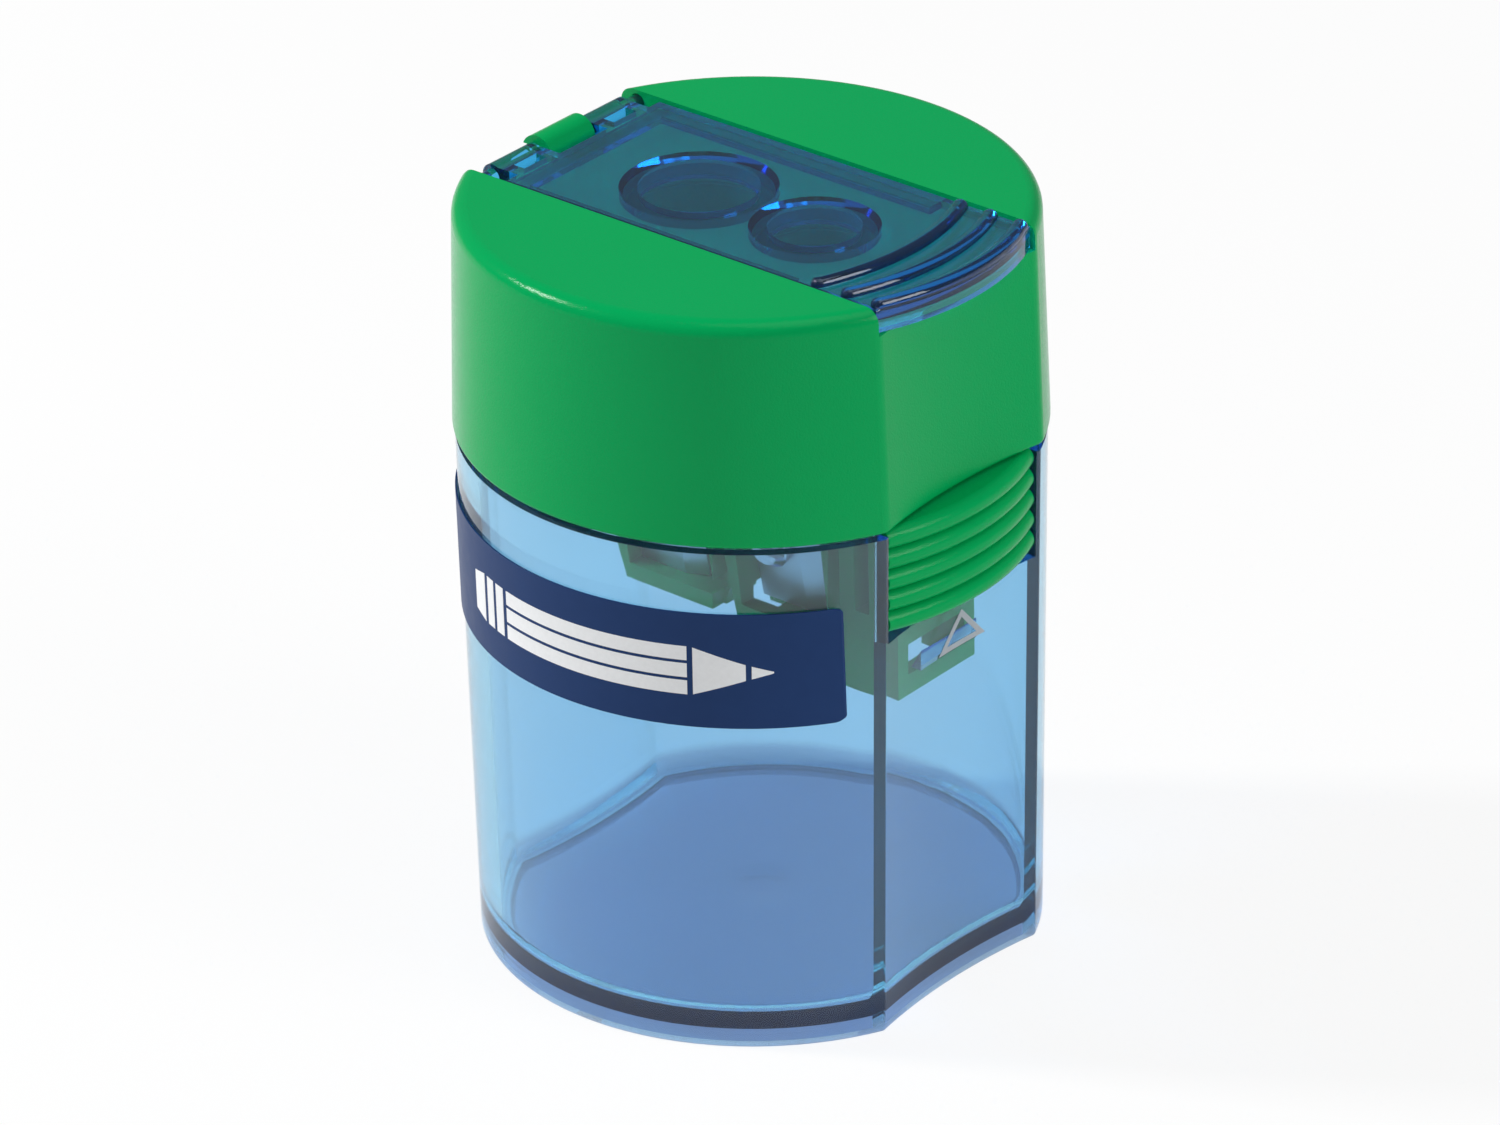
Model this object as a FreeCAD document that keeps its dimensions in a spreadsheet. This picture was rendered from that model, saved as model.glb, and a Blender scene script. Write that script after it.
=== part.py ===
import FreeCAD, Part
import math
import os
import Sketcher
from types import SimpleNamespace

# Two-hole tub pencil sharpener with a press-to-open cap and a hinged dust flap.
# Millimetres. +Z is up, the front (press pad and flap lip) faces -Y, and the
# origin lies on the table under the tub's middle.

# Driving dimensions
DIMS = {
    # Plan of the tub and the cap: round sides, dished front and back
    "tub_base_half": 20.45,
    "rim_flare": 0.4,
    "cap_overhang": 0.15,
    "cap_taper": 0.5,
    "corner_half": 8.6,
    "back_margin": 9.0,
    "rim_corner_flare": 0.75,
    "cap_corner_overhang": 0.2,
    "cap_corner_taper": 0.55,
    "face_dip": 0.75,
    # Heights
    "shoulder_height": 39.7,
    "seam_gap": 0.5,
    "cap_height": 17.0,
    # Tub
    "tub_wall": 1.5,
    "tub_corner_round": 0.4,
    "tub_foot_round": 0.3,
    "foot_wall": 1.6,
    "foot_height": 1.0,
    "floor_thick": 1.0,
    "floor_round": 1.5,
    "gate_mark_radius": 3.2,
    "gate_mark_core": 1.2,
    "gate_mark_depth": 0.2,
    "upstand_height": 2.5,
    "lap_skin": 0.9,
    "lap_clear": 0.1,
    "seat_clear": 0.05,
    "notch_margin": 0.35,
    "catch_half": 3.2,
    "catch_below_sill": 4.7,
    "catch_height": 3.0,
    # Foil band round the tub's left side
    "label_below_shoulder": 4.6,
    "label_width": 9.0,
    "label_end_margin": 0.85,
    "label_corner": 0.45,
    "label_thick": 0.12,
    "label_gap": 0.08,
    # Cap
    "cap_wall": 1.5,
    "cap_roof": 1.6,
    "cap_edge_round": 1.1,
    "cap_corner_round": 1.2,
    "cap_foot_round": 0.3,
    "recess_depth": 2.0,
    "strip_floor": 1.6,
    "cheek_wall": 1.3,
    # Pencil holes
    "large_hole_back": 4.35,
    "hole_web": 0.25,
    "large_bore_radius": 5.2,
    "small_bore_radius": 4.2,
    "mouth_flare": 0.45,
    "mouth_step": 0.15,
    # Flap
    "flap_drop": 0.12,
    "flap_side_clear": 0.15,
    "flap_floor_clear": 0.1,
    "plate_thick": 1.2,
    "plate_edge_round": 0.25,
    "rim_width": 1.3,
    "rim_front": 10.7,
    "lip_bulge": 1.45,
    "lip_thick": 1.1,
    "rib_radius": 0.6,
    "rib_sweep": 20.0,
    "rib_end_margin": 0.75,
    "rib_pitch": 2.65,
    "rib_count": 3,
    "collar_wall": 1.05,
    "collar_depth": 1.5,
    "collar_clear": 0.1,
    # Flap hinge
    "hinge_inset": 0.8,
    "barrel_radius": 0.95,
    "axle_radius": 0.6,
    "hinge_clear": 0.06,
    "hinge_skin": 0.5,
    "stub_end_clear": 0.2,
    "lug_half": 2.35,
    "lug_radius": 1.4,
    "lug_side_clear": 0.25,
    "lug_front_clear": 0.8,
    "snap_slot": 1.05,
    "hinge_block_margin": 1.35,
    "window_length": 2.4,
    "window_width": 1.0,
    # Press tab
    "pad_bulge": 1.25,
    "pad_wall": 1.3,
    "pad_side_clear": 0.2,
    "pad_top_clear": 0.2,
    "pad_foot_clear": 0.6,
    "ridge_count": 5,
    "ridge_pitch": 1.62,
    "ridge_depth": 0.7,
    "shelf_thick": 1.2,
    "tab_setback": 1.35,
    "tab_thick": 1.3,
    "neck_half": 5.0,
    "bead_rise": 8.3,
    "bead_radius": 0.9,
    "bead_clear": 0.1,
    "rail_wall": 0.9,
    "rail_wrap": 0.6,
    "rail_top_wall": 1.1,
    "tongue_half": 4.45,
    "tongue_drop": 7.6,
    "tongue_bar": 1.6,
    "tongue_window": 2.4,
    "tongue_leg": 1.2,
    "latch_clear": 0.25,
    "flange_depth": 2.9,
    # Sharpening block
    "taper_half_angle": 11.5,
    "guide_length": 6.0,
    "block_wall": 1.6,
    "block_flange": 1.4,
    "block_flange_rim": 0.5,
    "block_length": 28.5,
    "block_foot_half": 2.4,
    "seat_shoulder": 3.4,
    "arch_radius": 2.6,
    "web_half": 1.2,
    # Blades and their screws
    "blade_width": 5.9,
    "blade_length": 16.5,
    "blade_thick": 0.8,
    "blade_rise": 1.55,
    "blade_lap": 0.8,
    "blade_bite": 0.45,
    "blade_clear": 0.2,
    "bevel_width": 1.8,
    "bevel_edge": 0.2,
    "chip_gap": 2.0,
    "screw_in_from_heel": 1.8,
    "screw_up_from_foot": 5.2,
    "screw_head_radius": 1.7,
    "screw_head_height": 1.1,
    "screw_shank_radius": 0.9,
    "screw_shank_length": 3.6,
    "screw_slot_width": 0.5,
    "screw_slot_depth": 0.45,
    "screw_clear": 0.05,
}

RIGHT_ANGLE = 90.0
FULL_TURN = 360.0
RING_SWEEP = 64.0
TOUCH = 1e-4


class Size:
    """A length that carries its number and the spreadsheet formula behind it."""

    def __init__(self, value, formula):
        self.value = value
        self.formula = formula

    def __add__(self, other):
        other = as_size(other)
        return Size(self.value + other.value, f"({self.formula} + {other.formula})")

    def __sub__(self, other):
        other = as_size(other)
        return Size(self.value - other.value, f"({self.formula} - {other.formula})")

    def __mul__(self, other):
        other = as_size(other)
        return Size(self.value * other.value, f"({self.formula} * {other.formula})")

    def __truediv__(self, other):
        other = as_size(other)
        return Size(self.value / other.value, f"({self.formula} / {other.formula})")

    def __neg__(self):
        return Size(-self.value, f"(0 - {self.formula})")

    def __rmul__(self, other):
        return as_size(other) * self


def as_size(thing):
    """A plain number becomes a Size whose formula is that number."""
    return thing if isinstance(thing, Size) else Size(float(thing), repr(float(thing)))


def root(size):
    return Size(math.sqrt(size.value), f"sqrt({size.formula})")


def tangent(angle):
    return Size(math.tan(math.radians(angle.value)), f"tan({angle.formula})")


def cosine(angle):
    return Size(math.cos(math.radians(angle.value)), f"cos({angle.formula})")


def arcsine(ratio):
    return Size(math.degrees(math.asin(ratio.value)), f"asin({ratio.formula})")


# Document and spreadsheet
doc = FreeCAD.newDocument("TubSharpener")
sheet = doc.addObject("Spreadsheet::Sheet", "Dims")
for row, (alias, number) in enumerate(DIMS.items(), start=1):
    sheet.set(f"A{row}", alias)
    sheet.set(f"B{row}", str(number))
    sheet.setAlias(f"B{row}", alias)
doc.recompute()
d = SimpleNamespace(**{alias: Size(float(number), f"Dims.{alias}") for alias, number in DIMS.items()})

# Half widths and corner depths of the plans. The depth leaves room for the pencil holes.
tub_rim_half = d.tub_base_half + d.rim_flare
cap_foot_half = tub_rim_half + d.cap_overhang
cap_top_half = cap_foot_half - d.cap_taper
base_corner_depth = d.large_hole_back + d.large_bore_radius + d.back_margin
rim_corner_depth = base_corner_depth + d.rim_corner_flare
foot_corner_depth = rim_corner_depth + d.cap_corner_overhang
top_corner_depth = foot_corner_depth - d.cap_corner_taper

# Heights that several pieces share
cap_foot = d.shoulder_height + d.seam_gap
cap_top = cap_foot + d.cap_height
upstand_top = d.shoulder_height + d.upstand_height
rebate_top = upstand_top + d.seat_clear
recess_floor = cap_top - d.recess_depth
strip_under = recess_floor - d.strip_floor
inner_floor = d.foot_height + d.floor_thick
plate_top = cap_top - d.flap_drop
plate_under = plate_top - d.plate_thick
rim_under = recess_floor + d.flap_floor_clear
hinge_height = rim_under + d.barrel_radius
block_top = strip_under - d.seat_clear
cone_start = block_top - d.guide_length
block_foot = block_top - d.block_length
blade_foot = block_foot + d.blade_rise
bead_height = cap_foot + d.bead_rise
pad_top = cap_foot - d.pad_top_clear
pad_foot = pad_top - d.ridge_count * d.ridge_pitch
notch_sill = pad_foot - d.pad_foot_clear
catch_foot = notch_sill - d.catch_below_sill
tongue_foot = pad_foot - d.tongue_drop

# Places across and along the object that several pieces share
far_out = 2 * cap_foot_half
label_reach = base_corner_depth - d.label_end_margin
lip_radius = top_corner_depth + d.lip_bulge
strip_half = d.corner_half
plate_half = strip_half - d.flap_side_clear
rib_half_span = plate_half - d.rib_end_margin
hinge_block_outer = plate_half - d.hinge_block_margin
hinge_back = top_corner_depth - d.face_dip - d.hinge_inset
plate_back = hinge_back - d.lug_radius - d.lug_front_clear
pad_radius = foot_corner_depth + d.pad_bulge
notch_half = d.corner_half - d.notch_margin
pad_half = notch_half - d.pad_side_clear
tab_front = rim_corner_depth - d.face_dip - d.tub_wall - d.tab_setback
tab_back = tab_front - d.tab_thick
tab_mid = tab_front - d.tab_thick / 2
hole_spacing = d.large_bore_radius + d.small_bore_radius + 2 * d.mouth_flare + d.hole_web
small_hole_back = d.large_hole_back - hole_spacing
CHANNELS = {
    "large": (d.large_hole_back, d.large_bore_radius),
    "small": (small_hole_back, d.small_bore_radius),
}


# Document helpers
def bind(thing, prop, size):
    """Set a property from the spreadsheet by its formula."""
    thing.setExpression(prop, as_size(size).formula)


def new_body(label):
    body = doc.addObject("PartDesign::Body", "Body_" + label)
    body.Label = label
    return body


def new_sketch(body, role, name, offset=(0, 0, 0)):
    """A sketch on one of the body's own planes, moved by offset in that plane's axes."""
    sketch = body.newObject("Sketcher::SketchObject", name)
    plane = next(item for item in body.Origin.OriginFeatures if item.Role == role)
    sketch.AttachmentSupport = [(plane, "")]
    sketch.MapMode = "FlatFace"
    places = [as_size(step) for step in offset]
    base = FreeCAD.Vector(*[step.value for step in places])
    sketch.AttachmentOffset = FreeCAD.Placement(base, FreeCAD.Rotation())
    for axis, step in zip("xyz", places):
        bind(sketch, f"AttachmentOffset.Base.{axis}", step)
    return sketch


def hold(sketch, kind, *args):
    """Add a constraint whose last argument is a Size, and bind it."""
    size = as_size(args[-1])
    index = sketch.addConstraint(Sketcher.Constraint(kind, *args[:-1], size.value))
    bind(sketch, f"Constraints[{index}]", size)


def place(sketch, item, point, x, y):
    """Put one point of a sketch item at x, y from the sketch's origin."""
    hold(sketch, "DistanceX", -1, 1, item, point, x)
    hold(sketch, "DistanceY", -1, 1, item, point, y)


def join_loop(sketch, items):
    """Tie the end of each item to the start of the next, round the loop."""
    for item, following in zip(items, items[1:] + items[:1]):
        sketch.addConstraint(Sketcher.Constraint("Coincident", item, 2, following, 1))


def polygon(sketch, points):
    """A closed loop of straight lines through points of Sizes."""
    corners = [FreeCAD.Vector(as_size(x).value, as_size(y).value, 0) for x, y in points]
    lines = []
    for start, end in zip(corners, corners[1:] + corners[:1]):
        lines.append(sketch.addGeometry(Part.LineSegment(start, end)))
    join_loop(sketch, lines)
    for line, (x, y) in zip(lines, points):
        place(sketch, line, 1, x, y)


def rectangle(sketch, x_low, x_high, y_low, y_high):
    polygon(sketch, [(x_low, y_low), (x_high, y_low), (x_high, y_high), (x_low, y_high)])


def circle(sketch, x, y, radius):
    x, y = as_size(x), as_size(y)
    centre = FreeCAD.Vector(x.value, y.value, 0)
    item = sketch.addGeometry(Part.Circle(centre, FreeCAD.Vector(0, 0, 1), radius.value))
    hold(sketch, "Radius", item, radius)
    place(sketch, item, 3, x, y)


def arc(sketch, centre, radius, start, end):
    """An arc about centre from the direction of one point to that of another, anticlockwise."""
    angles = [math.atan2(point[1] - centre[1], point[0] - centre[0]) for point in (start, end)]
    if angles[1] < angles[0]:
        angles[1] += 2 * math.pi
    ring = Part.Circle(FreeCAD.Vector(*centre, 0), FreeCAD.Vector(0, 0, 1), radius)
    return sketch.addGeometry(Part.ArcOfCircle(ring, *angles))


def side_arc(half, corner_depth):
    """Radius and centre of the round side through (half, 0) and the corners."""
    rise = half - d.corner_half
    radius = (rise * rise + corner_depth * corner_depth) / (2 * rise)
    return radius, half - radius


def plan(sketch, half, corner_depth, inset):
    """The dished plan of tub and cap, drawn in by inset all round.

    The two sides are arcs through (half, 0) and the corners. The front and
    back are hollow arcs through the corners, face_dip deep. The inset keeps the
    arcs' centres, so the wall between two plans is even.
    """
    inset = as_size(inset)
    side_radius, side_centre = side_arc(half, corner_depth)
    face_radius = (d.corner_half * d.corner_half + d.face_dip * d.face_dip) / (2 * d.face_dip)
    face_centre = corner_depth - d.face_dip + face_radius
    near_x = d.corner_half.value - inset.value / 2
    near_y = corner_depth.value - inset.value
    side_r, face_r = side_radius - inset, face_radius + inset
    right = arc(sketch, (side_centre.value, 0), side_r.value, (near_x, -near_y), (near_x, near_y))
    back = arc(sketch, (0, face_centre.value), face_r.value, (-near_x, near_y), (near_x, near_y))
    left = arc(sketch, (-side_centre.value, 0), side_r.value, (-near_x, near_y), (-near_x, -near_y))
    front = arc(sketch, (0, -face_centre.value), face_r.value, (near_x, -near_y), (-near_x, -near_y))
    for item, radius, x, y in (
        (right, side_r, side_centre, 0),
        (back, face_r, 0, face_centre),
        (left, side_r, -side_centre, 0),
        (front, face_r, 0, -face_centre),
    ):
        hold(sketch, "Radius", item, radius)
        place(sketch, item, 3, x, y)
    for one, one_end, other, other_end in (
        (right, 2, back, 2), (back, 1, left, 1), (left, 2, front, 2), (front, 1, right, 1),
    ):
        sketch.addConstraint(Sketcher.Constraint("Coincident", one, one_end, other, other_end))


def side_reach(half, corner_depth, y):
    """How far out the round side lies at y."""
    radius, centre = side_arc(half, corner_depth)
    return centre + root(radius * radius - y * y)


# The hinge's axle ends in blind holes that leave a skin inside the cap's round sides
axle_bore = d.axle_radius + d.hinge_clear
axle_bore_end = side_reach(cap_top_half, top_corner_depth, hinge_back + axle_bore) - d.hinge_skin


def plan_loft(body, kind, name, low, high):
    """Loft between two plans, each given as height, half width, corner depth and inset."""
    sketches = []
    for end, (height, half, corner_depth, inset) in (("High", high), ("Low", low)):
        sketch = new_sketch(body, "XY_Plane", name + end, (0, 0, height))
        plan(sketch, half, corner_depth, inset)
        sketches.append(sketch)
    loft = body.newObject("PartDesign::" + kind, name)
    loft.Profile = sketches[0]
    loft.Sections = [(sketches[1], [""])]
    loft.Ruled = True
    return loft


def extrude(body, kind, name, sketch, length, reverse=False, symmetric=False):
    feature = body.newObject("PartDesign::" + kind, name)
    feature.Profile = sketch
    feature.Type = "Length"
    if symmetric:
        feature.SideType = "Symmetric"
    feature.Reversed = reverse
    bind(feature, "Length", length)
    return feature


def box(body, kind, name, x, y, z):
    """A box between low and high Sizes along each axis."""
    feature = body.newObject(f"PartDesign::{kind}Box", name)
    for axis, prop, (low, high) in zip("xyz", ("Length", "Width", "Height"), (x, y, z)):
        bind(feature, prop, as_size(high) - low)
        bind(feature, f"Placement.Base.{axis}", low)
    return feature


def rod_along_x(body, kind, name, radius, x, y, z):
    """A cylinder along X between two Sizes."""
    feature = body.newObject(f"PartDesign::{kind}Cylinder", name)
    feature.Placement = FreeCAD.Placement(
        FreeCAD.Vector(), FreeCAD.Rotation(FreeCAD.Vector(0, 1, 0), RIGHT_ANGLE)
    )
    bind(feature, "Radius", radius)
    bind(feature, "Height", as_size(x[1]) - x[0])
    for axis, size in zip("xyz", (x[0], y, z)):
        bind(feature, f"Placement.Base.{axis}", size)
    return feature


def cone_along_z(body, kind, name, radii, y, z):
    """A cone or cylinder about the vertical line at y, between two heights."""
    feature = body.newObject(f"PartDesign::{kind}Cone", name)
    bind(feature, "Radius1", radii[0])
    bind(feature, "Radius2", radii[1])
    bind(feature, "Height", z[1] - z[0])
    bind(feature, "Placement.Base.y", y)
    bind(feature, "Placement.Base.z", z[0])
    return feature


def revolve(body, kind, name, sketch, angle):
    feature = body.newObject("PartDesign::" + kind, name)
    feature.Profile = sketch
    feature.ReferenceAxis = (sketch, ["V_Axis"])
    feature.Midplane = True
    bind(feature, "Angle", angle)
    return feature


def edges_where(feature, wanted):
    """Names of the feature's edges whose middle point passes the test."""
    doc.recompute()
    names = []
    for number, edge in enumerate(feature.Shape.Edges, start=1):
        middle = edge.valueAt((edge.FirstParameter + edge.LastParameter) / 2)
        if wanted(edge, middle):
            names.append(f"Edge{number}")
    return names


def fillet(body, name, base, edges, radius):
    feature = body.newObject("PartDesign::Fillet", name)
    feature.Base = (base, edges)
    bind(feature, "Radius", radius)
    doc.recompute()
    return feature


def upright_edges(feature, height):
    """The corner edges that run up a wall of the given height."""
    return edges_where(feature, lambda edge, middle: edge.BoundBox.ZLength > height.value / 2)


def level(edge, middle, height):
    """True for an edge that lies flat at a height."""
    ends = [vertex.Point.z for vertex in edge.Vertexes]
    return all(abs(z - height.value) < TOUCH for z in ends + [middle.z])


# Tub
def make_tub():
    body = new_body("tub")
    base = (as_size(0), d.tub_base_half, base_corner_depth, as_size(0))
    rim = (d.shoulder_height, tub_rim_half, rim_corner_depth, as_size(0))
    wall = plan_loft(body, "AdditiveLoft", "TubWall", base, rim)
    wall = fillet(body, "TubCorners", wall, upright_edges(wall, d.shoulder_height), d.tub_corner_round)
    sole = edges_where(wall, lambda edge, middle: level(edge, middle, as_size(0)))
    fillet(body, "TubFootEdge", wall, sole, d.tub_foot_round)
    upstand = new_sketch(body, "XY_Plane", "UpstandPlan", (0, 0, d.shoulder_height))
    plan(upstand, cap_foot_half, foot_corner_depth, d.lap_skin + d.lap_clear)
    extrude(body, "Pad", "Upstand", upstand, d.upstand_height)

    share = inner_floor / d.shoulder_height
    floor_half = d.tub_base_half + (tub_rim_half - d.tub_base_half) * share
    floor_corner = base_corner_depth + (rim_corner_depth - base_corner_depth) * share
    cavity = plan_loft(
        body, "SubtractiveLoft", "TubCavity",
        (inner_floor, floor_half, floor_corner, d.tub_wall),
        (d.shoulder_height, tub_rim_half, rim_corner_depth, d.tub_wall),
    )
    floor_edges = edges_where(cavity, lambda edge, middle: level(edge, middle, inner_floor))
    fillet(body, "FloorRound", cavity, floor_edges, d.floor_round)
    mouth = new_sketch(body, "XY_Plane", "MouthPlan", (0, 0, d.shoulder_height))
    plan(mouth, tub_rim_half, rim_corner_depth, d.tub_wall)
    extrude(body, "Pocket", "TubMouth", mouth, d.upstand_height, reverse=True)
    foot = new_sketch(body, "XY_Plane", "FootPlan")
    plan(foot, d.tub_base_half, base_corner_depth, d.foot_wall)
    extrude(body, "Pocket", "FootHollow", foot, d.foot_height, reverse=True)
    cone_along_z(
        body, "Subtractive", "GateDimple", (d.gate_mark_core, d.gate_mark_radius), as_size(0),
        (inner_floor - d.gate_mark_depth, inner_floor),
    )
    box(
        body, "Subtractive", "PressNotch", (-notch_half, notch_half),
        (-far_out, -d.corner_half), (notch_sill, upstand_top + d.upstand_height),
    )
    # The catch is a wedge on the front wall, thickest at its foot
    catch_tip = -(tab_front + d.latch_clear)
    catch_root = -(rim_corner_depth - d.face_dip - d.tub_wall / 2)
    catch_top = catch_foot + d.catch_height
    catch = new_sketch(body, "YZ_Plane", "CatchProfile")
    polygon(catch, [(catch_root, catch_foot), (catch_tip, catch_foot), (catch_root, catch_top)])
    extrude(body, "Pad", "Catch", catch, 2 * d.catch_half, symmetric=True)
    return body


# Foil band: a skin just proud of the tub's wall, cut to a round-cornered strip
def make_tub_label():
    body = new_body("tub_label")
    for kind, name, skin in (
        ("AdditiveLoft", "FoilOuter", d.label_gap + d.label_thick),
        ("SubtractiveLoft", "FoilInner", d.label_gap),
    ):
        base = (as_size(0), d.tub_base_half, base_corner_depth, -skin)
        rim = (d.shoulder_height, tub_rim_half, rim_corner_depth, -skin)
        plan_loft(body, kind, name, base, rim)
    trim = new_sketch(body, "YZ_Plane", "FoilTrim")
    rectangle(trim, -far_out, far_out, -d.shoulder_height, 2 * d.shoulder_height)
    label_high = d.shoulder_height - d.label_below_shoulder
    rounded_rectangle(trim, label_reach, label_high - d.label_width, label_high, d.label_corner)
    extrude(body, "Pocket", "FoilOutline", trim, 2 * far_out, symmetric=True)
    box(
        body, "Subtractive", "FoilRightSide", (as_size(0), far_out),
        (-far_out, far_out), (as_size(0), d.shoulder_height),
    )
    return body


def rounded_rectangle(sketch, half, low, high, corner):
    """A rectangle about the sketch's upright axis with four equal round corners."""
    inner_x, inner_low, inner_high = half - corner, low + corner, high - corner
    sides = [
        ((-inner_x, low), (inner_x, low), (inner_x, inner_low)),
        ((half, inner_low), (half, inner_high), (inner_x, inner_high)),
        ((inner_x, high), (-inner_x, high), (-inner_x, inner_high)),
        ((-half, inner_high), (-half, inner_low), (-inner_x, inner_low)),
    ]
    items = []
    for number, (start, end, centre) in enumerate(sides):
        points = [FreeCAD.Vector(x.value, y.value, 0) for x, y in (start, end)]
        line = sketch.addGeometry(Part.LineSegment(*points))
        place(sketch, line, 1, *start)
        place(sketch, line, 2, *end)
        following = sides[(number + 1) % len(sides)][0]
        middle = tuple(size.value for size in centre)
        ends = [tuple(size.value for size in point) for point in (end, following)]
        bend = arc(sketch, middle, corner.value, *ends)
        hold(sketch, "Radius", bend, corner)
        items += [line, bend]
    join_loop(sketch, items)


# Cap
def make_cap():
    body = new_body("cap")
    foot = (cap_foot, cap_foot_half, foot_corner_depth, as_size(0))
    top = (cap_top, cap_top_half, top_corner_depth, as_size(0))
    shell = plan_loft(body, "AdditiveLoft", "CapShell", foot, top)
    shell = fillet(body, "CapCorners", shell, upright_edges(shell, d.cap_height), d.cap_corner_round)
    brim = edges_where(shell, lambda edge, middle: level(edge, middle, cap_top))
    shell = fillet(body, "CapEdge", shell, brim, d.cap_edge_round)
    hem = edges_where(shell, lambda edge, middle: level(edge, middle, cap_foot))
    fillet(body, "CapFootEdge", shell, hem, d.cap_foot_round)

    ceiling = cap_top - d.cap_roof
    share = (d.cap_height - d.cap_roof) / d.cap_height
    ceiling_half = cap_foot_half + (cap_top_half - cap_foot_half) * share
    ceiling_corner = foot_corner_depth + (top_corner_depth - foot_corner_depth) * share
    plan_loft(
        body, "SubtractiveLoft", "CapCavity",
        (cap_foot, cap_foot_half, foot_corner_depth, d.cap_wall),
        (ceiling, ceiling_half, ceiling_corner, d.cap_wall),
    )
    lap = new_sketch(body, "XY_Plane", "LapPlan", (0, 0, cap_foot))
    plan(lap, cap_foot_half, foot_corner_depth, d.lap_skin)
    extrude(body, "Pocket", "LapRebate", lap, rebate_top - cap_foot, reverse=True)

    trough_half = strip_half + d.cheek_wall
    trough_end = top_corner_depth - d.face_dip - d.cap_wall / 3
    box(
        body, "Additive", "StripTrough", (-trough_half, trough_half),
        (-trough_end, trough_end), (strip_under, ceiling + d.cap_roof / 4),
    )
    box(
        body, "Subtractive", "StripRecess", (-strip_half, strip_half),
        (-far_out, far_out), (recess_floor, cap_top + d.recess_depth),
    )
    for name, (y, bore_radius) in CHANNELS.items():
        radii = (bore_radius + d.mouth_step, bore_radius + d.mouth_flare)
        cone_along_z(body, "Subtractive", f"{name}_mouth", radii, y, (strip_under, recess_floor))

    # Hook of the flap hinge: a rounded post with a snap slot at its back
    lug_x = (-d.lug_half, d.lug_half)
    box(
        body, "Additive", "LugPost", lug_x, (hinge_back - d.lug_radius, hinge_back),
        (recess_floor - d.strip_floor / 2, hinge_height),
    )
    rod_along_x(body, "Additive", "LugCrown", d.lug_radius, lug_x, hinge_back, hinge_height)
    rod_along_x(
        body, "Subtractive", "AxleBore", axle_bore, (-axle_bore_end, axle_bore_end),
        hinge_back, hinge_height,
    )
    box(
        body, "Subtractive", "SnapSlot", lug_x,
        (hinge_back, hinge_back + 2 * d.lug_radius),
        (hinge_height - d.snap_slot / 2, hinge_height + d.snap_slot / 2),
    )
    # Rail that the press tab's bead snaps into, under the front wall
    groove = d.bead_radius + d.bead_clear
    rail_back = -(tab_mid - groove - d.rail_wall)
    box(
        body, "Additive", "TabRail", (-d.neck_half, d.neck_half),
        (-trough_end, rail_back),
        (bead_height - d.rail_wrap, bead_height + groove + d.rail_top_wall),
    )
    rod_along_x(
        body, "Subtractive", "RailGroove", groove, (-2 * d.neck_half, 2 * d.neck_half),
        -tab_mid, bead_height,
    )
    return body


# Flap
def make_flap():
    body = new_body("flap")
    outline = new_sketch(body, "XY_Plane", "PlateOutline", (0, 0, plate_under))
    lip_end = -root(lip_radius * lip_radius - plate_half * plate_half)
    front = arc(
        outline, (0, 0), lip_radius.value,
        (-plate_half.value, lip_end.value), (plate_half.value, lip_end.value),
    )
    hold(outline, "Radius", front, lip_radius)
    straight_run(outline, front, [
        (plate_half, lip_end), (plate_half, plate_back),
        (-plate_half, plate_back), (-plate_half, lip_end),
    ])
    plate = extrude(body, "Pad", "Plate", outline, d.plate_thick)
    rim_edges = edges_where(plate, lambda edge, middle: level(edge, middle, plate_top))
    fillet(body, "PlateEdge", plate, rim_edges, d.plate_edge_round)

    rim_depth = plate_under - rim_under
    lip = new_sketch(body, "XY_Plane", "LipOutline", (0, 0, rim_under))
    inner_radius = lip_radius - d.lip_thick
    inner_end = -root(inner_radius * inner_radius - plate_half * plate_half)
    outer = arc(
        lip, (0, 0), lip_radius.value,
        (-plate_half.value, lip_end.value), (plate_half.value, lip_end.value),
    )
    inner = arc(
        lip, (0, 0), inner_radius.value,
        (-plate_half.value, inner_end.value), (plate_half.value, inner_end.value),
    )
    for item, radius in ((outer, lip_radius), (inner, inner_radius)):
        hold(lip, "Radius", item, radius)
        place(lip, item, 3, 0, 0)
        hold(lip, "DistanceX", -1, 1, item, 1, -plate_half)
        hold(lip, "DistanceX", -1, 1, item, 2, plate_half)
    for end, side in ((1, -plate_half.value), (2, plate_half.value)):
        points = [FreeCAD.Vector(side, y.value, 0) for y in (lip_end, inner_end)]
        line = lip.addGeometry(Part.LineSegment(*points))
        lip.addConstraint(Sketcher.Constraint("Coincident", line, 1, outer, end))
        lip.addConstraint(Sketcher.Constraint("Coincident", line, 2, inner, end))
    extrude(body, "Pad", "Lip", lip, rim_depth + d.plate_thick / 2)
    body.Tip = make_grip_ribs(body)

    rim_z = (rim_under, plate_under + d.plate_thick / 2)
    rim_y = (-d.rim_front, plate_back)
    box(body, "Additive", "LeftRim", (-plate_half, d.rim_width - plate_half), rim_y, rim_z)
    box(body, "Additive", "RightRim", (plate_half - d.rim_width, plate_half), rim_y, rim_z)
    box(
        body, "Additive", "BackRim", (-plate_half, plate_half),
        (plate_back - d.rim_width, plate_back), rim_z,
    )
    for name, (y, bore_radius) in CHANNELS.items():
        make_collar(body, name, y, bore_radius)
    make_hinge_side(body)
    return body


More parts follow.
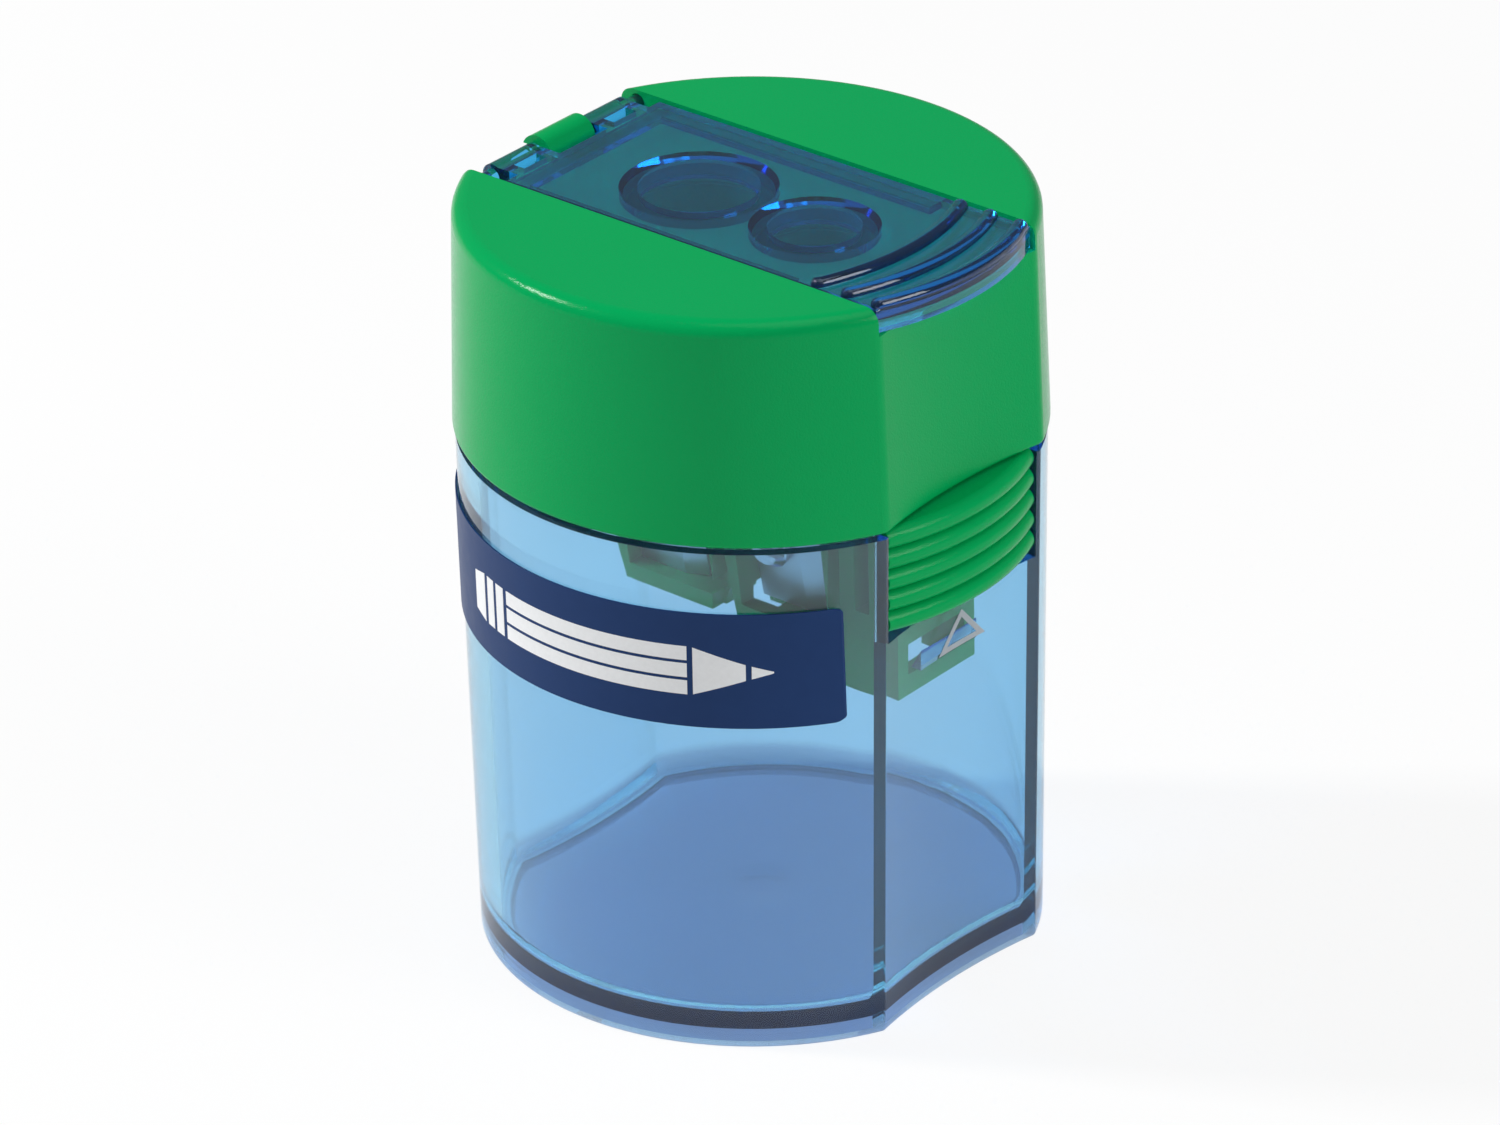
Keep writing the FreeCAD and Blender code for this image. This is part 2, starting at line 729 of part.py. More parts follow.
def straight_run(sketch, bend, points):
    """Straight lines through points, tied to the ends of an arc to close the loop."""
    lines = []
    for start, end in zip(points, points[1:]):
        ends = [FreeCAD.Vector(x.value, y.value, 0) for x, y in (start, end)]
        lines.append(sketch.addGeometry(Part.LineSegment(*ends)))
        place(sketch, lines[-1], 1, *start)
    place(sketch, lines[-1], 2, *points[-1])
    join_loop(sketch, [bend] + lines)


def make_collar(body, name, y, bore_radius):
    """A plug ring under the plate that tapers like the hole's countersunk mouth."""
    foot = plate_under - d.collar_depth
    flare = (d.mouth_flare - d.mouth_step) / d.strip_floor
    foot_radius = bore_radius + d.mouth_step + flare * (foot - strip_under) - d.collar_clear
    root_radius = foot_radius + flare * d.collar_depth
    overlap = d.plate_thick / 2
    profile = new_sketch(body, "YZ_Plane", f"{name}_collar_profile", (y, 0, 0))
    polygon(profile, [
        (foot_radius - d.collar_wall, foot),
        (foot_radius, foot),
        (root_radius, plate_under),
        (root_radius, plate_under + overlap),
        (foot_radius - d.collar_wall, plate_under + overlap),
    ])
    revolve(body, "Revolution", f"{name}_collar", profile, as_size(FULL_TURN))


def make_hinge_side(body):
    """Two windowed blocks behind the plate, their barrels, and the axle through all."""
    block_inner = d.lug_half + d.lug_side_clear
    block_z = (plate_under, plate_top)
    mid = (block_inner + hinge_block_outer) / 2
    gap_mid = (plate_back + hinge_back - d.barrel_radius) / 2
    for name, side in (("Left", -1), ("Right", 1)):
        x = sorted((side * block_inner, side * hinge_block_outer), key=lambda size: size.value)
        box(body, "Additive", f"{name}Block", x, (plate_back - d.rim_width, hinge_back), block_z)
        rod_along_x(body, "Additive", f"{name}Barrel", d.barrel_radius, x, hinge_back, hinge_height)
        middle = side * mid
        box(
            body, "Subtractive", f"{name}Window",
            (middle - d.window_length / 2, middle + d.window_length / 2),
            (gap_mid - d.window_width / 2, gap_mid + d.window_width / 2),
            (rim_under - d.plate_thick, plate_top + d.plate_thick),
        )
    end = axle_bore_end - d.stub_end_clear
    rod_along_x(body, "Additive", "Axle", d.axle_radius, (-end, end), hinge_back, hinge_height)


def make_grip_ribs(body):
    """Half-round ribs swept along an arc, with ball ends, repeated towards the hinge."""
    axis = d.rib_sweep + d.rib_radius - lip_radius
    profile = new_sketch(body, "YZ_Plane", "RibProfile", (axis, 0, 0))
    circle(profile, -d.rib_sweep, plate_top, d.rib_radius)
    swing = 2 * arcsine(rib_half_span / d.rib_sweep)
    features = [revolve(body, "Revolution", "GripRib", profile, swing)]
    end = axis - root(d.rib_sweep * d.rib_sweep - rib_half_span * rib_half_span)
    for name, x in (("Left", -rib_half_span), ("Right", rib_half_span)):
        ball = body.newObject("PartDesign::AdditiveSphere", f"Rib{name}End")
        bind(ball, "Radius", d.rib_radius)
        for prop, size in zip("xyz", (x, end, plate_top)):
            bind(ball, f"Placement.Base.{prop}", size)
        features.append(ball)
    doc.recompute()
    pattern = body.newObject("PartDesign::LinearPattern", "GripRibs")
    pattern.Originals = features
    along_y = next(item for item in body.Origin.OriginFeatures if item.Role == "Y_Axis")
    pattern.Direction = (along_y, [""])
    bind(pattern, "Length", (d.rib_count - 1) * d.rib_pitch)
    bind(pattern, "Occurrences", d.rib_count)
    return pattern


# Press tab
def make_press_tab():
    body = new_body("press_tab")
    inner_radius = pad_radius - d.ridge_depth - d.pad_wall
    valley = pad_radius - d.ridge_depth
    profile = new_sketch(body, "YZ_Plane", "RidgeProfile")
    items = []
    half_pitch = d.ridge_pitch / 2
    bulge = (half_pitch * half_pitch + d.ridge_depth * d.ridge_depth) / (2 * d.ridge_depth)
    for number in range(DIMS["ridge_count"]):
        top = pad_top - number * d.ridge_pitch
        foot = top - d.ridge_pitch
        centre = (-(pad_radius - bulge), top - half_pitch)
        middle = tuple(size.value for size in centre)
        ends = [(-valley.value, height.value) for height in (top, foot)]
        ridge = arc(profile, middle, bulge.value, *ends)
        hold(profile, "Radius", ridge, bulge)
        place(profile, ridge, 1, -valley, top)
        place(profile, ridge, 2, -valley, foot)
        items.append(ridge)
    points = [(-valley, pad_foot), (-inner_radius, pad_foot), (-inner_radius, pad_top), (-valley, pad_top)]
    for start, end in zip(points, points[1:]):
        ends = [FreeCAD.Vector(x.value, y.value, 0) for x, y in (start, end)]
        items.append(profile.addGeometry(Part.LineSegment(*ends)))
    place(profile, items[-2], 1, *points[1])
    place(profile, items[-1], 1, *points[2])
    for item, following in zip(items[-4:], items[-3:] + items[:1]):
        profile.addConstraint(Sketcher.Constraint("Coincident", item, 2, following, 1))
    revolve(body, "Revolution", "Ridges", profile, as_size(RING_SWEEP))
    for name, x in (("Left", (-far_out, -pad_half)), ("Right", (pad_half, far_out))):
        box(
            body, "Subtractive", f"{name}Trim", x, (-far_out, as_size(0)),
            (pad_foot - d.ridge_pitch, pad_top + d.ridge_pitch),
        )
    for name, height in (("Lower", pad_foot), ("Upper", pad_top - d.shelf_thick)):
        make_shelf(body, name, height, inner_radius + d.pad_wall / 2)
    tab_y = (-tab_front, -tab_back)
    box(body, "Additive", "TabPlate", (-pad_half, pad_half), tab_y, (pad_foot, pad_top))
    box(body, "Additive", "Neck", (-d.neck_half, d.neck_half), tab_y, (pad_foot, bead_height))
    rod_along_x(
        body, "Additive", "Bead", d.bead_radius, (-d.neck_half, d.neck_half), -tab_mid, bead_height,
    )
    inner_half = d.tongue_half - d.tongue_leg
    box(body, "Additive", "Tongue", (-d.tongue_half, d.tongue_half), tab_y, (tongue_foot, pad_top))
    flange_y = (-tab_back - d.tab_thick / 2, -tab_back + d.flange_depth)
    for name, x in (("Left", (-d.tongue_half, -inner_half)), ("Right", (inner_half, d.tongue_half))):
        box(body, "Additive", f"{name}Flange", x, flange_y, (tongue_foot, pad_top))
    window_foot = tongue_foot + d.tongue_bar
    box(
        body, "Subtractive", "TongueWindow", (-inner_half, inner_half),
        (-tab_front - d.tab_thick, -tab_back + d.tab_thick),
        (window_foot, window_foot + d.tongue_window),
    )
    return body


def make_shelf(body, name, height, radius):
    """A shelf that ties the ridged wall to the tab's plate."""
    outline = new_sketch(body, "XY_Plane", f"{name}ShelfOutline", (0, 0, height))
    end = -root(radius * radius - pad_half * pad_half)
    bow = arc(
        outline, (0, 0), radius.value, (-pad_half.value, end.value), (pad_half.value, end.value),
    )
    hold(outline, "Radius", bow, radius)
    points = [(pad_half, end), (pad_half, -tab_mid), (-pad_half, -tab_mid), (-pad_half, end)]
    straight_run(outline, bow, points)
    extrude(body, "Pad", f"{name}Shelf", outline, d.shelf_thick)


# Sharpening block
def seat_line(bore_radius, height):
    """How far the blade seat lies from a channel's axis, to the left, at a height."""
    slope = tangent(d.taper_half_angle)
    return bore_radius - slope * (cone_start - height) - d.blade_bite


def make_block():
    body = new_body("sharpener_block")
    rim = d.block_wall + d.block_flange_rim
    flange_half = d.large_bore_radius + rim
    box(
        body, "Additive", "TopFlange", (-flange_half, flange_half),
        (small_hole_back - d.small_bore_radius - rim,
         d.large_hole_back + d.large_bore_radius + d.seat_shoulder + rim),
        (block_top - d.block_flange, block_top),
    )
    for name, (y, bore_radius) in CHANNELS.items():
        make_wedge(body, name, y, bore_radius)
    box(
        body, "Additive", "Web", (-d.web_half, d.web_half), (small_hole_back, d.large_hole_back),
        (block_foot, block_top - d.block_flange / 2),
    )
    arch_y = (d.large_hole_back + small_hole_back) / 2
    rod_along_x(
        body, "Subtractive", "WebArch", d.arch_radius, (-d.web_half, d.web_half), arch_y, block_foot,
    )
    for name, (y, bore_radius) in CHANNELS.items():
        cone_length = bore_radius / tangent(d.taper_half_angle)
        tip = cone_start - cone_length
        cone_along_z(body, "Subtractive", f"{name}_taper", (as_size(0), bore_radius), y, (tip, cone_start))
        guide_z = (cone_start - d.seat_clear, block_top + d.block_flange)
        guide = body.newObject("PartDesign::SubtractiveCylinder", f"{name}_guide")
        bind(guide, "Radius", bore_radius)
        bind(guide, "Height", guide_z[1] - guide_z[0])
        bind(guide, "Placement.Base.y", y)
        bind(guide, "Placement.Base.z", guide_z[0])
        make_blade_seat(body, name, y, bore_radius)
    return body


def make_wedge(body, name, y, bore_radius):
    """A wedge round one tapered channel, wider on the side that carries the blade."""
    sketches = []
    for end, height, half in (
        ("Foot", block_foot, d.block_foot_half), ("Top", block_top, bore_radius + d.block_wall),
    ):
        sketch = new_sketch(body, "XY_Plane", f"{name}_wedge_{end}", (0, 0, height))
        rectangle(sketch, -half, half, y - half, y + half + d.seat_shoulder)
        sketches.append(sketch)
    loft = body.newObject("PartDesign::AdditiveLoft", f"{name}_wedge")
    loft.Profile = sketches[0]
    loft.Sections = [(sketches[1], [""])]
    loft.Ruled = True


def make_blade_seat(body, name, y, bore_radius):
    """A sloping slot that opens the channel along one side and bears the blade."""
    slope = tangent(d.taper_half_angle)
    low = blade_foot - d.blade_clear
    high = blade_foot + d.blade_length * cosine(d.taper_half_angle) + d.blade_clear
    seat = new_sketch(body, "XZ_Plane", f"{name}_seat_profile", (0, 0, -(y + seat_middle())))
    polygon(seat, [
        (-seat_line(bore_radius, low), low),
        (-seat_line(bore_radius, high), high),
        (-far_out, high + slope * d.blade_thick),
        (-far_out, low),
    ])
    extrude(body, "Pocket", f"{name}_seat", seat, seat_width(), symmetric=True)
    hole = body.newObject("PartDesign::SubtractiveCylinder", f"{name}_screw_hole")
    hole.Placement = screw_place(y, bore_radius)
    bind(hole, "Radius", d.screw_shank_radius + d.screw_clear)
    bind(hole, "Height", 2 * d.screw_shank_length)
    deep = FreeCAD.Vector(0, 0, -(d.screw_shank_length + d.screw_clear).value)
    hole.Placement = hole.Placement.multiply(FreeCAD.Placement(deep, FreeCAD.Rotation()))


def seat_width():
    return d.chip_gap + d.blade_width + d.blade_clear


def seat_middle():
    """Middle of the seat slot, from the channel's axis towards the blade's heel."""
    heel = d.blade_width - d.blade_lap + d.blade_clear
    return heel - seat_width() / 2


# Blades and screws
def seat_turn():
    """Local X runs towards the cutting edge, local Y up the seat, local Z off it."""
    upright = FreeCAD.Rotation(
        FreeCAD.Vector(0, -1, 0), FreeCAD.Vector(0, 0, 1), FreeCAD.Vector(-1, 0, 0), "XYZ"
    )
    lean = FreeCAD.Rotation(FreeCAD.Vector(0, 1, 0), -d.taper_half_angle.value)
    return lean.multiply(upright)


def blade_place(y, bore_radius):
    """Where the blade's heel corner sits on its seat."""
    heel = y.value + d.blade_width.value - d.blade_lap.value
    corner = FreeCAD.Vector(-seat_line(bore_radius, blade_foot).value, heel, blade_foot.value)
    return FreeCAD.Placement(corner, seat_turn())


def screw_place(y, bore_radius):
    """Where the screw's axis crosses the blade's seat."""
    across = FreeCAD.Vector(d.screw_in_from_heel.value, d.screw_up_from_foot.value, 0)
    return blade_place(y, bore_radius).multiply(FreeCAD.Placement(across, FreeCAD.Rotation()))


def make_blade(name, y, bore_radius):
    body = new_body(f"{name}_blade")
    outline = new_sketch(body, "XY_Plane", f"{name}_blade_outline", (0, 0, d.screw_clear))
    rectangle(outline, as_size(0), d.blade_width, as_size(0), d.blade_length)
    circle(outline, d.screw_in_from_heel, d.screw_up_from_foot, d.screw_shank_radius + d.screw_clear)
    strip = extrude(body, "Pad", f"{name}_blade_strip", outline, d.blade_thick)
    width, top = d.blade_width.value, d.blade_thick.value
    edge = edges_where(strip, lambda edge, middle: middle.x > width - TOUCH and middle.z > top)
    bevel = body.newObject("PartDesign::Chamfer", f"{name}_blade_bevel")
    bevel.Base = (strip, edge)
    bevel.ChamferType = "Two distances"
    bind(bevel, "Size", d.blade_thick - d.bevel_edge)
    bind(bevel, "Size2", d.bevel_width)
    body.Placement = blade_place(y, bore_radius)
    return body


def make_screw(name, y, bore_radius):
    body = new_body(f"{name}_blade_screw")
    face = d.screw_clear + d.blade_thick + d.screw_clear
    crown = face + d.screw_head_height
    profile = new_sketch(body, "XZ_Plane", f"{name}_screw_profile")
    polygon(profile, [
        (as_size(0), d.screw_clear - d.screw_shank_length),
        (d.screw_shank_radius, d.screw_clear - d.screw_shank_length),
        (d.screw_shank_radius - d.screw_clear, face),
        (d.screw_head_radius, face),
        (d.screw_head_radius, face + d.screw_head_height / 2),
        (d.screw_head_radius - d.screw_head_height / 2, crown),
        (as_size(0), crown),
    ])
    revolve(body, "Revolution", f"{name}_screw_turned", profile, as_size(FULL_TURN))
    box(
        body, "Subtractive", f"{name}_screw_slot",
        (-d.screw_head_radius, d.screw_head_radius),
        (-d.screw_slot_width / 2, d.screw_slot_width / 2),
        (crown - d.screw_slot_depth, crown + d.screw_slot_depth),
    )
    body.Placement = screw_place(y, bore_radius)
    return body


# Build, check and write
bodies = [make_tub(), make_tub_label(), make_cap(), make_flap(), make_press_tab(), make_block()]
for channel, (channel_y, channel_radius) in CHANNELS.items():
    bodies.append(make_blade(channel, channel_y, channel_radius))
    bodies.append(make_screw(channel, channel_y, channel_radius))
doc.recompute()

faults = [item.Name for item in doc.Objects if {"Invalid", "Error"} & set(item.State)]
for body in bodies:
    shape = body.Shape
    if shape.isNull() or not shape.isValid() or len(shape.Solids) != 1:
        faults.append(body.Label)
if faults:
    raise RuntimeError("failed objects: " + ", ".join(faults))

os.makedirs("parts", exist_ok=True)
for body in bodies:
    body.Shape.exportStep(f"parts/{body.Label}.step")
    print(body.Label, round(body.Shape.Volume, 1))
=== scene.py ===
# %% [markdown]
# # A tub pencil sharpener, dressed in Blender
# This is a hand sharpener with two holes. A green cap holds the block with its two blades, a clear blue
# tub under it catches the shavings, and a clear blue flap shuts the holes. The solids come from the
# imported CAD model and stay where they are. The lesson gives each piece its finish, prints two marks on
# the tub, and sets up a plain studio with the camera where the photograph was taken from. Lengths are
# metres in the CAD frame, unless a cell says millimetres: +Z is up, and the press pad and the flap's lip
# face -Y.

import bpy
import numpy as np
from mathutils import Matrix, Vector


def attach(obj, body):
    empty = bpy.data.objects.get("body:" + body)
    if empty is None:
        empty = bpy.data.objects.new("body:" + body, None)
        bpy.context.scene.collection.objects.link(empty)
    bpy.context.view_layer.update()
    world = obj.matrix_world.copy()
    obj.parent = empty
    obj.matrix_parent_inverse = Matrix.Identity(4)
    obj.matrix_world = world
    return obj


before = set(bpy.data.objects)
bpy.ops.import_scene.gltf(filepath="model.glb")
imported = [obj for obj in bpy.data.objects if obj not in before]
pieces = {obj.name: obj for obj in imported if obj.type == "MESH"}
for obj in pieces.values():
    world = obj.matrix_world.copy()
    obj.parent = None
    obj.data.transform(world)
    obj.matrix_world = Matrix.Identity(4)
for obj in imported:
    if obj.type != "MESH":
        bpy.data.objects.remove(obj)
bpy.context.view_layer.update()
print("pieces", sorted(pieces))

# %% [markdown]
# ## Materials from nodes
# Moulded plastic, foil and steel are never one flat colour. A picture could hold their grain, but it
# would stretch over a curved piece. Here each material is one Principled shader fed by a few procedural
# nodes, so it needs no picture and suits every piece. Three helpers keep the later cells short: one sets
# a node's sockets by name, one adds a node, and one makes an empty material with its shader and output.

# %% Nodes and empty materials
def set_sockets(tree, node, sockets):
    """Give each input a link, where the value is another node's output, or else a constant."""
    for key, value in sockets.items():
        if isinstance(value, bpy.types.NodeSocket):
            tree.links.new(value, node.inputs[key])
        else:
            node.inputs[key].default_value = value


def add_node(tree, kind, sockets=None, **settings):
    """A node of one kind, with its settings as attributes and its sockets as a dict."""
    node = tree.nodes.new(kind)
    for key, value in settings.items():
        setattr(node, key, value)
    set_sockets(tree, node, sockets or {})
    return node


def new_material(name):
    """An empty node material with an output and a Principled shader joined to it."""
    material = bpy.data.materials.new(name)
    material.use_nodes = True
    tree = material.node_tree
    tree.nodes.clear()
    shader = add_node(tree, "ShaderNodeBsdfPrincipled")
    output = add_node(tree, "ShaderNodeOutputMaterial", {"Surface": shader.outputs["BSDF"]})
    return material, tree, shader, output


print("helpers for nodes and materials")

# %% [markdown]
# ## Grain
# A mould or a grinding wheel leaves marks of one size. A texture on UV coordinates would stretch with the
# piece, but a noise on Object coordinates doesn't: its scale is a number of marks to the metre. The noise
# runs from 0 to 1, and a second helper turns that into a number between two limits, such as a roughness.

# %% Grain
def object_noise(tree, scale, detail=2.0, stretch=(1.0, 1.0, 1.0)):
    """Noise with a scale in marks to the metre; a stretch under 1 draws the marks out along that axis."""
    place = add_node(tree, "ShaderNodeTexCoord").outputs["Object"]
    mapping = add_node(tree, "ShaderNodeMapping", {"Vector": place, "Scale": stretch})
    sockets = {"Vector": mapping.outputs["Vector"], "Scale": scale, "Detail": detail}
    return add_node(tree, "ShaderNodeTexNoise", sockets).outputs["Fac"]


def between(tree, value, low, high, start=0.0, end=1.0):
    """A number that runs from low to high as value runs from start to end."""
    sockets = {"Value": value, "From Min": start, "From Max": end, "To Min": low, "To Max": high}
    return add_node(tree, "ShaderNodeMapRange", sockets).outputs["Result"]


print("helpers for grain")

# %% [markdown]
# ## Tints and relief
# The same noise shifts a colour between two near tints, because pigment is never spread quite evenly, and
# it bends the surface a little, as the grain does. Relief in the mesh itself would take millions of faces
# at this size, so the Bump node does it, with its depth in metres.

# %% Tints and relief
# A Mix node keeps sockets for numbers and vectors before those for colours.
COLOUR_A, COLOUR_B, COLOUR_OUT = 6, 7, 2


def rgba(colour):
    """A colour with full alpha, as sockets take it."""
    return (*colour, 1.0)


def dimmed(colour, share):
    """A colour with each channel at a share of its strength."""
    return tuple(share * channel for channel in colour)


def tint(tree, factor, first, second):
    """A colour that runs from first to second as factor runs from 0 to 1; second may be a node's output."""
    if not isinstance(second, bpy.types.NodeSocket):
        second = rgba(second)
    sockets = {"Factor": factor, COLOUR_A: rgba(first), COLOUR_B: second}
    return add_node(tree, "ShaderNodeMix", sockets, data_type="RGBA").outputs[COLOUR_OUT]


def relief(tree, height, strength, depth):
    """A surface normal bent by a height that runs from 0 to 1 over a depth in metres."""
    sockets = {"Height": height, "Strength": strength, "Distance": depth}
    return add_node(tree, "ShaderNodeBump", sockets).outputs["Normal"]


print("helpers for tints and relief")

# %% [markdown]
# ## Green moulded plastic
# The cap, the press tab and the block under the cap are one opaque green plastic. The mould is
# spark-eroded, which leaves a fine even grain: satin, with a sparkle where an edge turns to the light.
# One could bake the grain into a picture, but one noise of about six marks to the millimetre drives both
# roughness and relief, on every piece alike. A slow second noise shifts the tint a little, as pigment
# does. The specular level is low, so that the green stays deep beside a white floor.

# %% Green plastic
GREEN_TINTS = ((0.0004, 0.360, 0.092), (0.0008, 0.385, 0.100))
GREEN_GRAIN, GRAIN_DEPTH = 6500.0, 0.00002
GREEN_ROUGH = (0.12, 0.20)
GREEN_GLOSS = 0.09
PIGMENT_CLOUDS = 60.0


def green_plastic():
    """Opaque green whose roughness and relief follow a fine noise, and whose tint follows a slow one."""
    material, tree, shader, _ = new_material("green_moulded_plastic")
    grain = object_noise(tree, GREEN_GRAIN, detail=3.0)
    set_sockets(tree, shader, {
        "Base Color": tint(tree, object_noise(tree, PIGMENT_CLOUDS), *GREEN_TINTS),
        "Roughness": between(tree, grain, *GREEN_ROUGH),
        "Specular IOR Level": GREEN_GLOSS,
        "Normal": relief(tree, grain, strength=1.0, depth=GRAIN_DEPTH),
    })
    return material


def dress(material, *names):
    """Give CAD pieces a finish: only their material slots change."""
    for name in names:
        slots = pieces[name].data.materials
        slots.clear()
        slots.append(material)
    print(material.name, "on", ", ".join(names))


dress(green_plastic(), "cap", "press_tab", "sharpener_block")

# %% [markdown]
# ## Light through clear plastic
# The tub and the flap are see-through, so the lamps light what is behind them. A refracting wall would
# stop the lamps' direct light, and finding it by caustics is slow and noisy. So for shadow rays alone a
# plain tinted window takes the shader's place, and every other ray still meets the refracting wall.

# %% Light through clear plastic
def lit_through(tree, shader, shade):
    """The shader, but a plain tinted window for shadow rays, so that lamps reach what is behind."""
    window = add_node(tree, "ShaderNodeBsdfTransparent", {"Color": rgba(shade)})
    shadow_ray = add_node(tree, "ShaderNodeLightPath").outputs["Is Shadow Ray"]
    sockets = {"Fac": shadow_ray, 1: shader.outputs["BSDF"], 2: window.outputs["BSDF"]}
    return add_node(tree, "ShaderNodeMixShader", sockets).outputs["Shader"]


print("helper for light through clear plastic")

# %% [markdown]
# ## Clear dyed plastic
# The flap is polystyrene with a blue dye. Dye works through the depth: a thin wall looks pale, and a wall
# seen along its length looks dark. A tinted surface alone would miss that, so an absorption volume inside
# holds the dye, and the surface has only a tint of its own beside it. A faint noise, drawn out upwards as
# the plastic flowed, keeps the surface from being a perfect mirror.

# %% Clear plastic
CLEAR_IOR = 1.49
CLEAR_GLOSS = 0.12
CLEAR_ROUGH = (0.015, 0.045)
FLOW_MARKS, FLOW_STRETCH, FLOW_DEPTH = 140.0, (1.0, 1.0, 0.35), 0.00005
HAZE_CLOUDS, HAZE_SHARE = 45.0, 0.98


def clear_plastic(name, skin, clear, dye, density, shade, low_painted_shade=None):
    """Clear plastic whose dye lets a colour channel through by exp(-density * (1 - dye) * path).

    The surface has the skin's tint; low_painted_shade, if given, paints shade onto it near the ground.
    """
    material, tree, shader, output = new_material(name)
    flow = object_noise(tree, FLOW_MARKS, stretch=FLOW_STRETCH)
    surface = tint(tree, object_noise(tree, HAZE_CLOUDS), dimmed(skin, HAZE_SHARE), skin)
    # Near the ground the tub's surface colour may take painted shade.
    if low_painted_shade:
        surface = low_painted_shade(tree, surface)
    set_sockets(tree, shader, {
        "Base Color": surface,
        "Transmission Weight": clear,
        "Specular IOR Level": CLEAR_GLOSS,
        "IOR": CLEAR_IOR,
        "Roughness": between(tree, flow, *CLEAR_ROUGH),
        "Normal": relief(tree, flow, strength=0.05, depth=FLOW_DEPTH),
    })
    soak = add_node(tree, "ShaderNodeVolumeAbsorption", {"Color": rgba(dye), "Density": density})
    set_sockets(tree, output, {
        "Surface": lit_through(tree, shader, shade),
        "Volume": soak.outputs["Volume"],
    })
    return material


dress(
    clear_plastic(
        "clear_blue_flap", skin=(0.30, 0.84, 1.0), clear=0.98, dye=(0.0, 0.62, 0.87), density=740.0,
        shade=(0.36, 0.48, 0.82),
    ),
    "flap",
)

# %% [markdown]
# ## Painted shade on the tub's floor
# The tub is the same plastic with less dye. Its floor and foot look darker and more violet than its
# walls, because light gets under them and back only through plastic. Following that light would take very
# many bounces, so painted shade stands in for it: over one millimetre of height, just above the floor,
# the surface's colour turns from the darker painted floor shade to the walls' tint.

# %% Tub plastic
FLOOR_TOP = 0.002
# Painted shade: the darker tint of the tub's floor and foot stands in for light reaching them only through
# plastic.
PAINTED_FLOOR_SHADE = (0.36, 0.405, 0.585)
SHADE_START, SHADE_END = FLOOR_TOP + 0.0002, FLOOR_TOP + 0.0012


def floor_painted_shade(tree, walls):
    """Painted floor shade below SHADE_START, the walls' tint above SHADE_END, and a steady change between.
    """
    place = add_node(tree, "ShaderNodeTexCoord").outputs["Object"]
    height = add_node(tree, "ShaderNodeSeparateXYZ", {"Vector": place}).outputs["Z"]
    return tint(tree, between(tree, height, 0.0, 1.0, SHADE_START, SHADE_END), PAINTED_FLOOR_SHADE, walls)


# The tub's floor and foot get a darker painted shade near the ground.
dress(
    clear_plastic(
        "clear_blue_tub", skin=(0.735, 0.85, 0.985), clear=0.96, dye=(0.30, 0.84, 0.94), density=300.0,
        shade=(0.52, 0.60, 0.72), low_painted_shade=floor_painted_shade,
    ),
    "tub",
)

# %% [markdown]
# ## Foil band
# The band on the tub's side is a thin foil with a satin, slightly mottled face, as rolled film has. It
# could be a painted strip of the tub's own material, but it is a piece of its own on the real tub, so it
# has its own finish.

# %% Foil
FOIL_TINTS = ((0.0078, 0.036, 0.132), (0.0106, 0.042, 0.150))
FOIL_MOTTLE, MOTTLE_DEPTH = 700.0, 0.00002
FOIL_ROUGH = (0.34, 0.46)
FOIL_GLOSS = 0.14


def navy_foil():
    """Dark blue film whose tint, roughness and relief all follow one mottle."""
    material, tree, shader, _ = new_material("navy_foil")
    mottle = object_noise(tree, FOIL_MOTTLE, detail=4.0)
    set_sockets(tree, shader, {
        "Base Color": tint(tree, mottle, *FOIL_TINTS),
        "Roughness": between(tree, mottle, *FOIL_ROUGH),
        "Specular IOR Level": FOIL_GLOSS,
        "Normal": relief(tree, mottle, strength=0.05, depth=MOTTLE_DEPTH),
    })
    return material


dress(navy_foil(), "tub_label")

# %% [markdown]
# ## Blades and screws
# The blades are ground steel, with fine upright marks. The screws are bright and turned, with shorter
# marks. Anisotropic shading could draw such marks, but it needs tangents that follow each blade. A fine
# noise drawn out along one axis gives them at their real size, and both steels share one function.

# %% Steel
STEEL_MARKS, MARK_DEPTH = 6000.0, 0.00001
STEEL_DIM = 0.94
ROUGH_SPREAD = 0.1


def steel(name, colour, rough, stretch):
    """Metal whose tint, roughness and relief follow marks drawn out along one axis."""
    material, tree, shader, _ = new_material(name)
    marks = object_noise(tree, STEEL_MARKS, stretch=stretch)
    set_sockets(tree, shader, {
        "Base Color": tint(tree, marks, dimmed(colour, STEEL_DIM), colour),
        "Metallic": 1.0,
        "Roughness": between(tree, marks, rough * (1 - ROUGH_SPREAD), rough * (1 + ROUGH_SPREAD)),
        "Normal": relief(tree, marks, strength=0.02, depth=MARK_DEPTH),
    })
    return material


blade_steel = steel("ground_blade_steel", (0.62, 0.63, 0.65), rough=0.36, stretch=(1.0, 1.0, 0.06))
dress(blade_steel, "large_blade", "small_blade")
screw_steel = steel("bright_screw_steel", (0.70, 0.70, 0.71), rough=0.2, stretch=(1.0, 0.2, 1.0))
dress(screw_steel, "large_blade_screw", "small_blade_screw")

# %% [markdown]
# ## The tub's front wall as a formula
# Print lies on the tub's walls, so it needs their shape. Marks could be shrink-wrapped onto the mesh, but
# the walls are simple enough to write down, here in millimetres. A wall runs straight from the plan at
# the foot to the plan at the rim. In each plan the front is a hollow arc that dips between its two
# corners.

# %% Front wall
RIM_HEIGHT = 39.7
CORNER_HALF = 8.6
FACE_DIP = 0.75
FOOT_DEPTH, RIM_DEPTH = 18.55, 19.3


